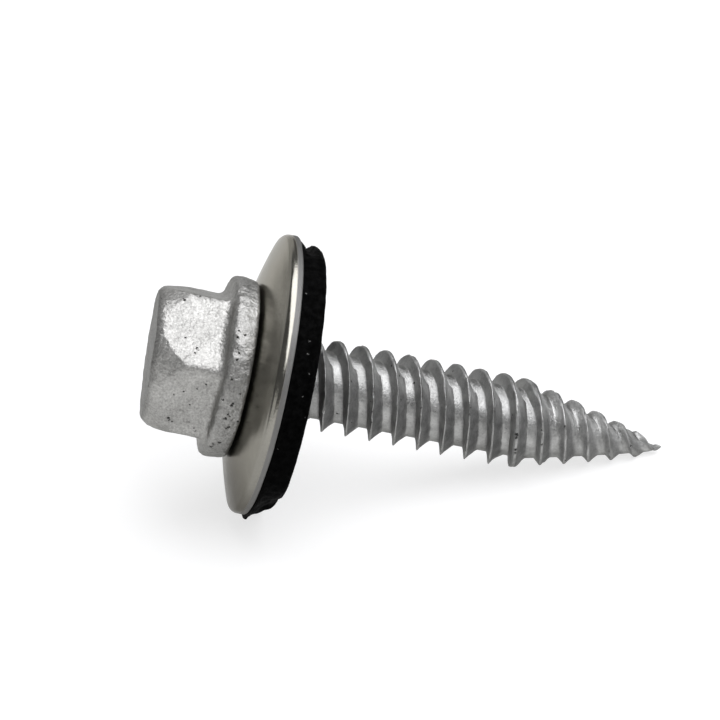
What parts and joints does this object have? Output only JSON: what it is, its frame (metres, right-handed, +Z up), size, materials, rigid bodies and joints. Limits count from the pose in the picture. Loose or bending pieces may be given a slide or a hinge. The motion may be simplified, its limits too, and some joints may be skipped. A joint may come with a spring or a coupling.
{
  "type": "metal roofing screw",
  "caption": "Hex washer head self-tapping roofing screw with a coarse thread, a sharp point and a captive dished steel and rubber sealing washer.",
  "frame": {"origin": "centre of the bounding box at floor level, with the screw lying on its washer's rubber rim and its point", "axes": "+Z up, +X from the head towards the point along the floor, the screw's own axis dips below +X by about 19.6 degrees"},
  "size_m": [0.0354, 0.0194, 0.0187],
  "materials": {
    "zinc_coated_steel": "mechanically galvanised, matt grey with a fine grain, brighter where the thread was rolled",
    "washer_steel": "smooth zinc plated sheet",
    "epdm_rubber": "matt black with a torn rim"
  },
  "bodies": {
    "screw": {"screw": "zinc_coated_steel"},
    "washer": {"steel_washer": "washer_steel", "rubber_seal": "epdm_rubber"}
  },
  "joints": [
    {"name": "washer_spin", "type": "hinge", "parent": "screw", "child": "washer", "pos_m": [-0.00854, 0.00003, 0.00954], "axis": [0.9423, 0, -0.3349], "continuous": true}
  ]
}
